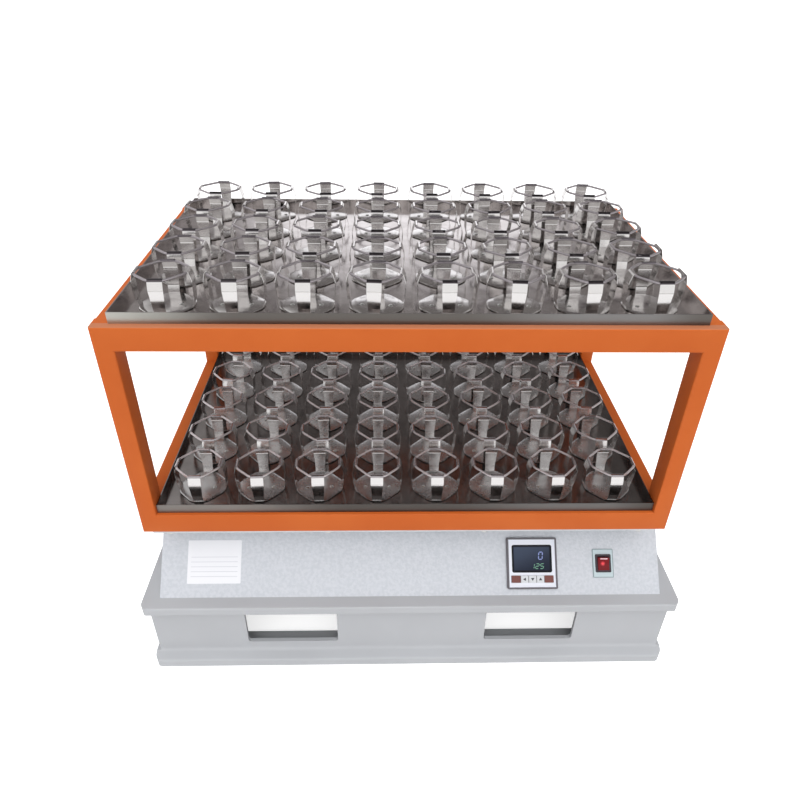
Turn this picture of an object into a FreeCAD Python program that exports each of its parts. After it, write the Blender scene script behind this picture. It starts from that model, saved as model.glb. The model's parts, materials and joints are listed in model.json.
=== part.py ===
# Double-deck orbital platform shaker for flasks. Millimetres, +Z up, front towards -Y.
# The origin is the middle of the base's underside, on the axis of the main crank.
# A steel base holds the orbital drive. Five equal cranks carry a table with a welded tube frame,
# two steel trays and eighty flask clamps. At rest every crank pin points to -X.
import FreeCAD, Part
import os
from math import cos, radians, sin, sqrt, tan
from FreeCAD import Placement, Rotation, Vector

os.makedirs("parts", exist_ok=True)

# Base ring, welded from rolled beams
BASE_LENGTH = 1015.0
BASE_DEPTH = 652.0
BASE_HEIGHT = 175.0
FLANGE_TOE = 20.0
FLANGE_ROOT = 27.0
FLANGE_OUT = 22.0
FLANGE_IN = 38.0
WEB_THICKNESS = 8.0
TOE_RADIUS = 5.0
ROOT_RADIUS = 8.0
FLANGE_EDGE_RADIUS = 3.0
SIDE_FLANGE_OUT = 7.5
SIDE_FLANGE_IN = 52.0
BASE_CORNER_RADIUS = 15.0
FORK_SLOT_WIDTH = 177.0
FORK_SLOT_BOTTOM = 48.0
FORK_SLOT_TOP = 134.0
FORK_SLOT_OFFSET = 234.0
FORK_SLOT_RADIUS = 6.0

# Deck plate that carries the drive
DECK_END_GAP = 11.0
DECK_FRONT_GAP = 25.0
DECK_REAR_GAP = 12.0
DECK_THICKNESS = 8.0
DECK_BOLT_RADIUS = 7.5
DECK_BOLT_HEIGHT = 6.0
DECK_BOLT_EDGE = 10.0
DECK_BOLT_END = 37.0
DECK_BOLT_COLUMNS = 5

# Sheet housing over the drive
HOUSING_END_SETBACK = 31.5
HOUSING_FACE_SETBACK = 26.0
HOUSING_HEIGHT = 125.0
PANEL_ANGLE = 43.0
SHEET = 2.0
VENT_LENGTH = 90.0
VENT_WIDTH = 5.0
VENT_PITCH = 12.0
VENT_COUNT = 6
SCREW_RADIUS = 4.0
SCREW_HEIGHT = 2.4
SCREW_MARGIN = 16.0
SCREW_END = 29.0
SCREW_COLUMNS = 4

# Orbital drive
THROW = 13.0
MAIN_JOURNAL_RADIUS = 15.0
MAIN_PIN_RADIUS = 12.0
MAIN_DISC_RADIUS = 46.0
IDLER_JOURNAL_RADIUS = 10.0
IDLER_PIN_RADIUS = 9.0
IDLER_DISC_RADIUS = 30.0
IDLER_X = 330.0
IDLER_Y = 120.0
DISC_THICKNESS = 14.0
DISC_TOP_GAP = 12.0
JOURNAL_CLEARANCE = 0.05
OPEN_PIVOT_CLEARANCE = 0.1
BEARING_WIDTH = 15.0
MAIN_BEARING_RADIUS = 31.0
IDLER_BEARING_RADIUS = 21.0
BEARING_WALL = 10.0
BEARING_FLANGE_EXTRA = 20.0
BEARING_FLANGE_HEIGHT = 8.0
BEARING_TOP_GAP = 6.0
SEAT_GAP = 0.05
SHAFT_END_GAP = 0.5
COUNTERWEIGHT_RADIUS = 74.0
COUNTERWEIGHT_GAP = 0.3
PULLEY_WIDTH = 20.0
PULLEY_RIM = 4.0
PULLEY_FLANGE = 1.5
DRIVEN_PULLEY_RADIUS = 90.0
MOTOR_PULLEY_RADIUS = 30.0
MOTOR_Y = 165.0
MOTOR_SIZE = 110.0
MOTOR_LENGTH = 140.0
MOTOR_CORNER_RADIUS = 12.0
MOTOR_SHAFT_RADIUS = 9.5
MOTOR_CUTOUT_GAP = 4.0
BRACKET_HEIGHT = 46.0
BRACKET_SHEET = 6.0
BRACKET_FOOT = 22.0
BELT_THICKNESS = 3.0
BELT_WIDTH = 15.0
BELT_GAP = 0.3
RUNNING_GAP = 3.0

# Table and frame
TABLE_END_SETBACK = 12.0
TABLE_FACE_SETBACK = 10.5
TABLE_THICKNESS = 12.0
HUB_HEIGHT = 16.0
HUB_GAP = 4.0
FRAME_HEIGHT = 406.0
TUBE_WIDTH = 30.0
TUBE_HEIGHT = 40.0
TUBE_WALL = 2.0
TUBE_RADIUS = 3.0
VENT_HOLE_RADIUS = 5.0
BEARER_OFFSET = 150.0
BEARER_HEIGHT = 25.0
FRAME_BOLT_RADIUS = 8.0
FRAME_BOLT_HEIGHT = 7.0
FRAME_BOLT_EDGE = 22.5
FRAME_BOLT_END = 27.0
FRAME_BOLT_COLUMNS = 4

# Trays
UPPER_TRAY_END = 71.0
UPPER_TRAY_SIDE = 60.5
LOWER_TRAY_END = 65.0
LOWER_TRAY_SIDE = 66.5
TRAY_SHEET = 1.5
TRAY_LIP = 18.0
TRAY_POST_GAP = 1.0
TRAY_SETBACK = 7.0

# Flask clamps
CLAMP_PITCH = 106.0
CLAMP_COLUMNS = 8
CLAMP_ROWS = 5
CLAMP_BASE_RADIUS = 42.0
CLAMP_BASE_DIAGONAL = 37.0
CLAMP_BASE_WALL = 1.2
CLAMP_BASE_HEIGHT = 4.0
CLAMP_BASE_CROWN = 12.0
ARM_FOOT_WIDTH = 18.0
ARM_TOP_WIDTH = 22.0
ARM_SHEET = 1.2
ARM_FOOT_Z = 0.4
SHOULDER_RADIUS = 44.0
SHOULDER_Z = 42.0
RING_RADIUS = 38.5
RING_Z = 56.0
RING_WIRE = 3.0
RING_STRAIGHT = 25.0

# Panel meter
METER_SIZE = 96.0
METER_X = 229.6
METER_S = 59.8
METER_PROUD = 8.0
METER_RIM = 3.5
METER_CORNER_RADIUS = 3.0
METER_FACE_DEPTH = 1.5
METER_NECK = 91.0
METER_NECK_DEPTH = 8.0
METER_BODY_LENGTH = 86.0
METER_BODY_HEIGHT = 56.0
METER_BODY_DEPTH = 28.0
METER_BODY_RISE = 12.0
CUTOUT_GAP = 0.5
WINDOW_LENGTH = 77.0
WINDOW_HEIGHT = 52.0
WINDOW_RISE = 8.5
WINDOW_CORNER_RADIUS = 4.0
WINDOW_THICKNESS = 2.0
KEY_HEIGHT = 13.0
KEY_DROP = 29.6
KEY_PROUD = 1.5
KEY_GAP = 1.2
KEY_SLOT_GAP = 0.35
KEY_DEPTH = 4.0
KEY_TRAVEL = 0.8
KEY_CORNER_RADIUS = 1.0
KEY_WIDTHS = (16.5, 14.0, 14.0, 14.0, 16.5)
KEY_NAMES = ("key_set", "key_left", "key_down", "key_up", "key_run")

# Power switch
SWITCH_X = 368.5
SWITCH_S = 58.5
SWITCH_PLATE_WIDTH = 40.0
SWITCH_PLATE_HEIGHT = 54.0
SWITCH_PLATE_THICKNESS = 1.5
SWITCH_BEZEL_WIDTH = 30.0
SWITCH_BEZEL_HEIGHT = 34.0
SWITCH_BEZEL_PROUD = 2.0
SWITCH_CORNER_RADIUS = 2.0
SWITCH_WALL = 2.0
SWITCH_BODY_DEPTH = 20.0
ROCKER_GAP = 0.4
ROCKER_PROUD = 4.0
ROCKER_TILT = 9.0
ROCKER_PIVOT_DEPTH = 4.0

# Mains inlet and controller
INLET_X = 330.0
INLET_RISE = 45.0
INLET_WIDTH = 48.0
INLET_HEIGHT = 28.0
INLET_PROUD = 3.0
INLET_DEPTH = 24.0
INLET_POCKET_WIDTH = 22.5
INLET_POCKET_HEIGHT = 15.5
INLET_POCKET_DEPTH = 16.0
CONTROL_X = -215.0
CONTROL_LENGTH = 130.0
CONTROL_DEPTH = 110.0
CONTROL_HEIGHT = 60.0

# Cutting blocks run this far past the faces that they cut, and points nearer than TINY are one
MARGIN = 1.0
REACH = 2000.0
TINY = 0.01

# Sizes and levels that follow from the sizes above
HOUSING_LENGTH = BASE_LENGTH - 2 * HOUSING_END_SETBACK
HOUSING_FRONT = BASE_DEPTH / 2 - HOUSING_FACE_SETBACK
HOUSING_REAR = BASE_DEPTH / 2 - HOUSING_FACE_SETBACK
DECK_LENGTH = HOUSING_LENGTH - 2 * DECK_END_GAP
DECK_FRONT = HOUSING_FRONT - DECK_FRONT_GAP
DECK_REAR = HOUSING_REAR - DECK_REAR_GAP
DECK_TOP = BASE_HEIGHT + DECK_THICKNESS
HOUSING_TOP = BASE_HEIGHT + HOUSING_HEIGHT
DISC_TOP = HOUSING_TOP - SHEET - DISC_TOP_GAP
DISC_BOTTOM = DISC_TOP - DISC_THICKNESS
PULLEY_TOP = DISC_BOTTOM - RUNNING_GAP
PULLEY_BOTTOM = PULLEY_TOP - PULLEY_WIDTH
BODY_TOP = PULLEY_BOTTOM - BEARING_TOP_GAP
TABLE_Z = HOUSING_TOP + HUB_GAP + HUB_HEIGHT
TABLE_TOP = TABLE_Z + TABLE_THICKNESS
FRAME_TOP = TABLE_TOP + FRAME_HEIGHT
LOWER_SEAT = TABLE_TOP + TUBE_HEIGHT
UPPER_BEAM_BOTTOM = FRAME_TOP - TUBE_HEIGHT
WEB_OUTER = BASE_DEPTH / 2 - FLANGE_OUT
WEB_INNER = WEB_OUTER - WEB_THICKNESS
BEAM_INNER = WEB_INNER - FLANGE_IN
SIDE_WEB_OUTER = BASE_LENGTH / 2 - SIDE_FLANGE_OUT
SIDE_WEB_INNER = SIDE_WEB_OUTER - WEB_THICKNESS
SIDE_INNER = SIDE_WEB_INNER - SIDE_FLANGE_IN
TRAY_HEIGHTS = {"lower": LOWER_SEAT, "upper": FRAME_TOP}
CLAMPS_LENGTH = (CLAMP_COLUMNS - 1) * CLAMP_PITCH
CLAMPS_DEPTH = (CLAMP_ROWS - 1) * CLAMP_PITCH
TRAY_SIZES = {
    "lower": (CLAMPS_LENGTH + 2 * LOWER_TRAY_END, CLAMPS_DEPTH + 2 * LOWER_TRAY_SIDE),
    "upper": (CLAMPS_LENGTH + 2 * UPPER_TRAY_END, CLAMPS_DEPTH + 2 * UPPER_TRAY_SIDE),
}
FRAME_LENGTH = TRAY_SIZES["lower"][0] + 2 * (TRAY_POST_GAP + TUBE_WIDTH)
FRAME_DEPTH = TRAY_SIZES["lower"][1] + 2 * TRAY_SETBACK
TABLE_LENGTH = FRAME_LENGTH - 2 * TABLE_END_SETBACK
TABLE_DEPTH = FRAME_DEPTH - 2 * TABLE_FACE_SETBACK
IDLER_PLACES = [(-IDLER_X, -IDLER_Y), (IDLER_X, -IDLER_Y), (IDLER_X, IDLER_Y), (-IDLER_X, IDLER_Y)]


# Small helpers
def export(name, *solids):
    shape = solids[0] if len(solids) == 1 else Part.makeCompound(list(solids))
    shape.exportStep("parts/" + name + ".step")


def box(x0, x1, y0, y1, z0, z1):
    return Part.makeBox(x1 - x0, y1 - y0, z1 - z0, Vector(x0, y0, z0))


def cylinder(radius, z0, z1, x=0.0, y=0.0):
    return Part.makeCylinder(radius, z1 - z0, Vector(x, y, z0))


def prism(points, direction):
    return Part.Face(Part.makePolygon(points + points[:1])).extrude(direction)


def turned(shape, degrees, centre=Vector(0, 0, 0)):
    copy = shape.copy()
    copy.rotate(centre, Vector(0, 0, 1), degrees)
    return copy


def moved(shape, x=0.0, y=0.0, z=0.0):
    copy = shape.copy()
    copy.translate(Vector(x, y, z))
    return copy


def mirrored_x(shape):
    return shape.mirror(Vector(0, 0, 0), Vector(1, 0, 0))


def rounded_plan(length, depth, radius, z0, z1):
    """An upright block with rounded vertical edges."""
    block = box(-length / 2, length / 2, -depth / 2, depth / 2, z0, z1)
    upright = [e for e in block.Edges if abs(e.Vertexes[0].Z - e.Vertexes[1].Z) > 1.0]
    return block.makeFillet(radius, upright)


def long_edges(block, axis):
    """The edges of a block that run along one axis: 0 for X, 1 for Y, 2 for Z."""
    edges = []
    for edge in block.Edges:
        ends = [v.Point for v in edge.Vertexes]
        if abs(ends[0][axis] - ends[1][axis]) > 1.0:
            edges.append(edge)
    return edges


def columns(length, end, count):
    """Places of count fasteners along a length, the outer ones at a set distance from its ends."""
    pitch = (length - 2 * end) / (count - 1)
    return [end - length / 2 + number * pitch for number in range(count)]


def on_panel(shape):
    """Carry a shape from the panel's own axes (X, up the slope, outwards) to the base's axes."""
    turn = Placement(Vector(0, -HOUSING_FRONT, BASE_HEIGHT), Rotation(Vector(1, 0, 0), 90 - PANEL_ANGLE))
    copy = shape.copy()
    copy.Placement = turn.multiply(copy.Placement)
    return copy


# Base ring
def rolled_beam(sign):
    """Rolled I beam for the front (sign -1) or rear (sign 1), with round toes, roots and outer edges."""
    outer = BASE_DEPTH / 2
    half = [
        (outer, 0), (outer, FLANGE_TOE), (WEB_OUTER, FLANGE_ROOT),
        (WEB_OUTER, BASE_HEIGHT - FLANGE_ROOT), (outer, BASE_HEIGHT - FLANGE_TOE), (outer, BASE_HEIGHT),
        (BEAM_INNER, BASE_HEIGHT), (BEAM_INNER, BASE_HEIGHT - FLANGE_TOE),
        (WEB_INNER, BASE_HEIGHT - FLANGE_ROOT), (WEB_INNER, FLANGE_ROOT),
        (BEAM_INNER, FLANGE_TOE), (BEAM_INNER, 0),
    ]
    section = [Vector(-BASE_LENGTH / 2, sign * y, z) for y, z in half]
    beam = prism(section, Vector(BASE_LENGTH, 0, 0))
    for radius, places in (
        (ROOT_RADIUS, [half[2], half[3], half[8], half[9]]), (TOE_RADIUS, [half[1], half[4]]),
        (FLANGE_EDGE_RADIUS, [half[0], half[5]]),
    ):
        edges = []
        for edge in long_edges(beam, 0):
            at = edge.Vertexes[0].Point
            if min(abs(at.y - sign * y) + abs(at.z - z) for y, z in places) < TINY:
                edges.append(edge)
        beam = beam.makeFillet(radius, edges)
    return beam


def fork_slot(x):
    slot = box(
        x - FORK_SLOT_WIDTH / 2, x + FORK_SLOT_WIDTH / 2,
        -BASE_DEPTH, BASE_DEPTH, FORK_SLOT_BOTTOM, FORK_SLOT_TOP,
    )
    return slot.makeFillet(FORK_SLOT_RADIUS, long_edges(slot, 1))


def long_beam(sign):
    beam = rolled_beam(sign)
    beam = beam.common(rounded_plan(BASE_LENGTH, BASE_DEPTH, BASE_CORNER_RADIUS, 0, BASE_HEIGHT))
    for side in (-1, 1):
        trim = box(
            SIDE_WEB_OUTER, BASE_LENGTH, WEB_INNER - ROOT_RADIUS, WEB_OUTER + ROOT_RADIUS,
            FLANGE_ROOT, BASE_HEIGHT - FLANGE_ROOT,
        )
        plate = box(
            SIDE_WEB_INNER, SIDE_WEB_OUTER, BEAM_INNER, WEB_INNER, FLANGE_TOE, BASE_HEIGHT - FLANGE_TOE,
        )
        if sign < 0:
            trim = trim.mirror(Vector(0, 0, 0), Vector(0, 1, 0))
            plate = plate.mirror(Vector(0, 0, 0), Vector(0, 1, 0))
        if side < 0:
            trim = mirrored_x(trim)
            plate = mirrored_x(plate)
        beam = beam.cut(trim).fuse(plate)
        beam = beam.cut(fork_slot(side * FORK_SLOT_OFFSET))
    return beam.removeSplitter()


def side_channel(side):
    web = box(SIDE_WEB_INNER, SIDE_WEB_OUTER, -BEAM_INNER, BEAM_INNER, FLANGE_TOE, BASE_HEIGHT - FLANGE_TOE)
    low = box(SIDE_INNER, BASE_LENGTH / 2, -BEAM_INNER, BEAM_INNER, 0, FLANGE_TOE)
    high = moved(low, z=BASE_HEIGHT - FLANGE_TOE)
    channel = web.fuse([low, high]).removeSplitter()
    return channel if side > 0 else mirrored_x(channel)


export("base_front_beam", long_beam(-1))
export("base_rear_beam", long_beam(1))
export("base_left_channel", side_channel(-1))
export("base_right_channel", side_channel(1))

# Deck plate and its bolts
motor_hole = MOTOR_SIZE / 2 + MOTOR_CUTOUT_GAP
deck = box(-DECK_LENGTH / 2, DECK_LENGTH / 2, -DECK_FRONT, DECK_REAR, BASE_HEIGHT, DECK_TOP)
deck = deck.cut(box(
    -motor_hole, motor_hole, MOTOR_Y - motor_hole, MOTOR_Y + motor_hole,
    BASE_HEIGHT - MARGIN, DECK_TOP + MARGIN,
))
export("deck_plate", deck)

deck_bolts = []
for bolt_x in columns(DECK_LENGTH, DECK_BOLT_END, DECK_BOLT_COLUMNS):
    for bolt_y in (DECK_BOLT_EDGE - DECK_FRONT, DECK_REAR - DECK_BOLT_EDGE):
        deck_bolts.append(cylinder(DECK_BOLT_RADIUS, DECK_TOP, DECK_TOP + DECK_BOLT_HEIGHT, bolt_x, bolt_y))
export("deck_bolts", *deck_bolts)


# Housing sheets
def housing_block(inset):
    """The housing's outline as a solid, moved inwards by inset on the slope, the top and the rear."""
    slope = tan(radians(PANEL_ANGLE))
    front = HOUSING_FRONT - inset / cos(radians(PANEL_ANGLE))
    top = HOUSING_TOP - inset
    rear = HOUSING_REAR - inset
    outline = [
        Vector(-HOUSING_LENGTH / 2, -front, BASE_HEIGHT),
        Vector(-HOUSING_LENGTH / 2, -front + slope * (top - BASE_HEIGHT), top),
        Vector(-HOUSING_LENGTH / 2, rear, top),
        Vector(-HOUSING_LENGTH / 2, rear, BASE_HEIGHT),
    ]
    return prism(outline, Vector(HOUSING_LENGTH, 0, 0))


def panel_block(x, s, width, height, n0, n1, corner=0.0):
    """A block on the sloping panel, centred at x and s, from n0 to n1 along its outward normal."""
    block = box(x - width / 2, x + width / 2, s - height / 2, s + height / 2, n0, n1)
    if corner > 0.0:
        block = block.makeFillet(corner, long_edges(block, 2))
    return on_panel(block)


outer_block = housing_block(0.0)
inner_block = housing_block(SHEET)
below_top = box(-REACH, REACH, -REACH, HOUSING_REAR - SHEET, 0, HOUSING_TOP - SHEET)
meter_hole = METER_NECK + 2 * CUTOUT_GAP
switch_body_width = SWITCH_BEZEL_WIDTH - 2 * SWITCH_WALL
switch_body_height = SWITCH_BEZEL_HEIGHT - 2 * SWITCH_WALL
front_panel = outer_block.common(below_top).cut(inner_block)
front_panel = front_panel.cut(panel_block(METER_X, METER_S, meter_hole, meter_hole, -2 * SHEET, SHEET))
front_panel = front_panel.cut(panel_block(
    SWITCH_X, SWITCH_S, switch_body_width + 2 * CUTOUT_GAP, switch_body_height + 2 * CUTOUT_GAP,
    -2 * SHEET, SHEET,
))
export("front_panel", front_panel)

top_cover = outer_block.common(box(-REACH, REACH, -REACH, REACH, HOUSING_TOP - SHEET, HOUSING_TOP))
top_cover = top_cover.cut(cylinder(MAIN_PIN_RADIUS + THROW + RUNNING_GAP, DISC_TOP, TABLE_Z))
for hole_x, hole_y in IDLER_PLACES:
    pin_path = IDLER_PIN_RADIUS + THROW + RUNNING_GAP
    top_cover = top_cover.cut(cylinder(pin_path, DISC_TOP, TABLE_Z, hole_x, hole_y))
export("top_cover", top_cover)

right_cover = inner_block.common(box(HOUSING_LENGTH / 2 - SHEET, REACH, -REACH, REACH, 0, HOUSING_TOP))
export("side_covers", mirrored_x(right_cover), right_cover)

inlet_z = BASE_HEIGHT + INLET_RISE
rear_cover = box(
    -HOUSING_LENGTH / 2, HOUSING_LENGTH / 2, HOUSING_REAR - SHEET, HOUSING_REAR,
    BASE_HEIGHT, HOUSING_TOP - SHEET,
)
inlet_hole_x = INLET_WIDTH / 2 - INLET_PROUD + CUTOUT_GAP
inlet_hole_z = INLET_HEIGHT / 2 - INLET_PROUD + CUTOUT_GAP
rear_cover = rear_cover.cut(box(
    INLET_X - inlet_hole_x, INLET_X + inlet_hole_x, HOUSING_REAR - 2 * SHEET, HOUSING_REAR + SHEET,
    inlet_z - inlet_hole_z, inlet_z + inlet_hole_z,
))
vents_bottom = BASE_HEIGHT + (HOUSING_HEIGHT - (VENT_COUNT - 1) * VENT_PITCH) / 2
for vent in range(VENT_COUNT):
    vent_z = vents_bottom + vent * VENT_PITCH
    for vent_x in (-VENT_LENGTH, 0.0, VENT_LENGTH):
        slot = box(
            vent_x - VENT_LENGTH / 2 + VENT_WIDTH, vent_x + VENT_LENGTH / 2 - VENT_WIDTH,
            HOUSING_REAR - 2 * SHEET, HOUSING_REAR + SHEET, vent_z - VENT_WIDTH / 2, vent_z + VENT_WIDTH / 2,
        )
        rear_cover = rear_cover.cut(slot)
export("rear_cover", rear_cover)

rear_screw = Part.makeCylinder(SCREW_RADIUS, SCREW_HEIGHT, Vector(0, HOUSING_REAR, 0), Vector(0, 1, 0))
cover_screws = []
for screw_x in columns(HOUSING_LENGTH, SCREW_END, SCREW_COLUMNS):
    for screw_z in (BASE_HEIGHT + SCREW_MARGIN, HOUSING_TOP - SCREW_MARGIN):
        cover_screws.append(moved(rear_screw, screw_x, 0, screw_z))
export("cover_screws", *cover_screws)


# Drive: bearing housings, bearings, cranks and pulleys
def bearing_housing(bearing_radius, journal_radius, x=0.0, y=0.0):
    """A flanged housing with a bearing seat at each end and a shoulder between them."""
    wall = bearing_radius + BEARING_WALL
    shoulder = (bearing_radius + journal_radius) / 2
    body = cylinder(wall + BEARING_FLANGE_EXTRA, DECK_TOP, DECK_TOP + BEARING_FLANGE_HEIGHT, x, y)
    body = body.fuse(cylinder(wall, DECK_TOP, BODY_TOP, x, y))
    body = body.cut(cylinder(shoulder, DECK_TOP - MARGIN, BODY_TOP + MARGIN, x, y))
    seat_radius = bearing_radius + SEAT_GAP
    body = body.cut(cylinder(seat_radius, DECK_TOP - MARGIN, DECK_TOP + BEARING_WIDTH, x, y))
    body = body.cut(cylinder(seat_radius, BODY_TOP - BEARING_WIDTH, BODY_TOP + MARGIN, x, y))
    return body


def bearing(outer, inner, z0, x=0.0, y=0.0):
    ring = cylinder(outer, z0, z0 + BEARING_WIDTH, x, y)
    return ring.cut(cylinder(inner, z0 - MARGIN, z0 + BEARING_WIDTH + MARGIN, x, y))


def crank(journal_radius, disc_radius, pin_radius, x=0.0, y=0.0):
    """A journal, a disc and a pin that stands off the journal's axis by the throw, towards -X."""
    shaft = cylinder(journal_radius, DECK_TOP + SHAFT_END_GAP, DISC_BOTTOM, x, y)
    disc = cylinder(disc_radius, DISC_BOTTOM, DISC_TOP, x, y)
    pin = cylinder(pin_radius, DISC_TOP, TABLE_Z - SHAFT_END_GAP, x - THROW, y)
    return shaft.fuse([disc, pin]).removeSplitter()


export("main_bearing_housing", bearing_housing(MAIN_BEARING_RADIUS, MAIN_JOURNAL_RADIUS))
export("idler_bearing_housings", *[
    bearing_housing(IDLER_BEARING_RADIUS, IDLER_JOURNAL_RADIUS, x, y) for x, y in IDLER_PLACES
])

shaft_bearings = []
for seat in (DECK_TOP, BODY_TOP - BEARING_WIDTH):
    shaft_bearings.append(bearing(MAIN_BEARING_RADIUS, MAIN_JOURNAL_RADIUS + JOURNAL_CLEARANCE, seat))
    for idler_x, idler_y in IDLER_PLACES:
        inner = IDLER_JOURNAL_RADIUS + JOURNAL_CLEARANCE
        shaft_bearings.append(bearing(IDLER_BEARING_RADIUS, inner, seat, idler_x, idler_y))
export("shaft_bearings", *shaft_bearings)

export("main_crank", crank(MAIN_JOURNAL_RADIUS, MAIN_DISC_RADIUS, MAIN_PIN_RADIUS))
for number, (idler_x, idler_y) in enumerate(IDLER_PLACES, start=1):
    idler = crank(IDLER_JOURNAL_RADIUS, IDLER_DISC_RADIUS, IDLER_PIN_RADIUS, idler_x, idler_y)
    export("idler_crank_" + str(number), idler)

# The counterweight is half a ring around the disc, opposite the pin
weight = cylinder(COUNTERWEIGHT_RADIUS, DISC_BOTTOM, DISC_TOP)
weight = weight.cut(cylinder(MAIN_DISC_RADIUS + SEAT_GAP, DISC_BOTTOM - MARGIN, DISC_TOP + MARGIN))
weight = weight.common(box(COUNTERWEIGHT_GAP, REACH, -REACH, REACH, DISC_BOTTOM, DISC_TOP))
export("counterweight", weight)


def pulley(radius, bore, x=0.0, y=0.0):
    """A flat-belt pulley between two thin flanges."""
    body = cylinder(radius, PULLEY_BOTTOM, PULLEY_TOP, x, y)
    body = body.fuse(cylinder(radius + PULLEY_RIM, PULLEY_BOTTOM, PULLEY_BOTTOM + PULLEY_FLANGE, x, y))
    body = body.fuse(cylinder(radius + PULLEY_RIM, PULLEY_TOP - PULLEY_FLANGE, PULLEY_TOP, x, y))
    return body.cut(cylinder(bore, PULLEY_BOTTOM - MARGIN, PULLEY_TOP + MARGIN, x, y))


export("driven_pulley", pulley(DRIVEN_PULLEY_RADIUS, MAIN_JOURNAL_RADIUS + SEAT_GAP))
export("motor_pulley", pulley(MOTOR_PULLEY_RADIUS, MOTOR_SHAFT_RADIUS + JOURNAL_CLEARANCE, 0, MOTOR_Y))


# Belt round both pulleys, its straight runs on their common tangents
def belt_outline(extra):
    big = DRIVEN_PULLEY_RADIUS + extra
    small = MOTOR_PULLEY_RADIUS + extra
    lean = (big - small) / MOTOR_Y
    across = sqrt(1 - lean * lean)
    big_touch = Vector(big * across, big * lean, 0)
    small_touch = Vector(small * across, MOTOR_Y + small * lean, 0)
    left_big = Vector(-big_touch.x, big_touch.y, 0)
    left_small = Vector(-small_touch.x, small_touch.y, 0)
    edges = [
        Part.makeLine(big_touch, small_touch),
        Part.Arc(small_touch, Vector(0, MOTOR_Y + small, 0), left_small).toShape(),
        Part.makeLine(left_small, left_big),
        Part.Arc(left_big, Vector(0, -big, 0), big_touch).toShape(),
    ]
    return Part.Wire(edges)


belt_z = (PULLEY_BOTTOM + PULLEY_TOP - BELT_WIDTH) / 2
belt_outer = Part.Face(belt_outline(BELT_GAP + BELT_THICKNESS)).extrude(Vector(0, 0, BELT_WIDTH))
belt_inner = Part.Face(belt_outline(BELT_GAP)).extrude(Vector(0, 0, BELT_WIDTH))
export("drive_belt", moved(belt_outer.cut(belt_inner), z=belt_z))

# Motor, hung from a bracket through the deck
bracket_top = DECK_TOP + BRACKET_HEIGHT
motor_top = bracket_top - BRACKET_SHEET
motor = rounded_plan(MOTOR_SIZE, MOTOR_SIZE, MOTOR_CORNER_RADIUS, motor_top - MOTOR_LENGTH, motor_top)
motor = moved(motor, y=MOTOR_Y).fuse(cylinder(MOTOR_SHAFT_RADIUS, motor_top, PULLEY_TOP, 0, MOTOR_Y))
export("motor", motor)

leg_inner = motor_hole + BRACKET_SHEET
bracket = box(
    -leg_inner - BRACKET_SHEET, leg_inner + BRACKET_SHEET,
    MOTOR_Y - MOTOR_SIZE / 2, MOTOR_Y + MOTOR_SIZE / 2, motor_top, bracket_top,
)
for side in (-1, 1):
    leg_edges = sorted((side * leg_inner, side * (leg_inner + BRACKET_SHEET)))
    foot_edges = sorted((side * leg_inner, side * (leg_inner + BRACKET_FOOT)))
    leg = box(*leg_edges, MOTOR_Y - MOTOR_SIZE / 2, MOTOR_Y + MOTOR_SIZE / 2, DECK_TOP, motor_top)
    foot = box(
        *foot_edges, MOTOR_Y - MOTOR_SIZE / 2, MOTOR_Y + MOTOR_SIZE / 2, DECK_TOP, DECK_TOP + BRACKET_SHEET,
    )
    bracket = bracket.fuse([leg, foot])
bracket = bracket.cut(cylinder(2 * MOTOR_SHAFT_RADIUS, motor_top - MARGIN, bracket_top + MARGIN, 0, MOTOR_Y))
export("motor_bracket", bracket.removeSplitter())

control = box(
    CONTROL_X - CONTROL_LENGTH / 2, CONTROL_X + CONTROL_LENGTH / 2,
    -CONTROL_DEPTH / 2, CONTROL_DEPTH / 2, DECK_TOP, DECK_TOP + CONTROL_HEIGHT,
)
export("control_box", control)

# Mains inlet on the rear cover
inlet = box(
    INLET_X - INLET_WIDTH / 2, INLET_X + INLET_WIDTH / 2, HOUSING_REAR, HOUSING_REAR + INLET_PROUD,
    inlet_z - INLET_HEIGHT / 2, inlet_z + INLET_HEIGHT / 2,
)
inlet = inlet.fuse(box(
    INLET_X - inlet_hole_x + CUTOUT_GAP, INLET_X + inlet_hole_x - CUTOUT_GAP, HOUSING_REAR - INLET_DEPTH,
    HOUSING_REAR, inlet_z - inlet_hole_z + CUTOUT_GAP, inlet_z + inlet_hole_z - CUTOUT_GAP,
))
inlet = inlet.cut(box(
    INLET_X - INLET_POCKET_WIDTH / 2, INLET_X + INLET_POCKET_WIDTH / 2,
    HOUSING_REAR + INLET_PROUD - INLET_POCKET_DEPTH, HOUSING_REAR + INLET_PROUD + MARGIN,
    inlet_z - INLET_POCKET_HEIGHT / 2, inlet_z + INLET_POCKET_HEIGHT / 2,
))
export("power_inlet", inlet.removeSplitter())

# Panel meter: a neck and body behind the panel, a rim and face in front of it
neck = panel_block(METER_X, METER_S, METER_NECK, METER_NECK, -METER_NECK_DEPTH, 0)
body = panel_block(
    METER_X, METER_S + METER_BODY_RISE, METER_BODY_LENGTH, METER_BODY_HEIGHT, -METER_BODY_DEPTH,
    -METER_NECK_DEPTH,
)
export("meter_case", neck.fuse(body).removeSplitter())

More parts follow.
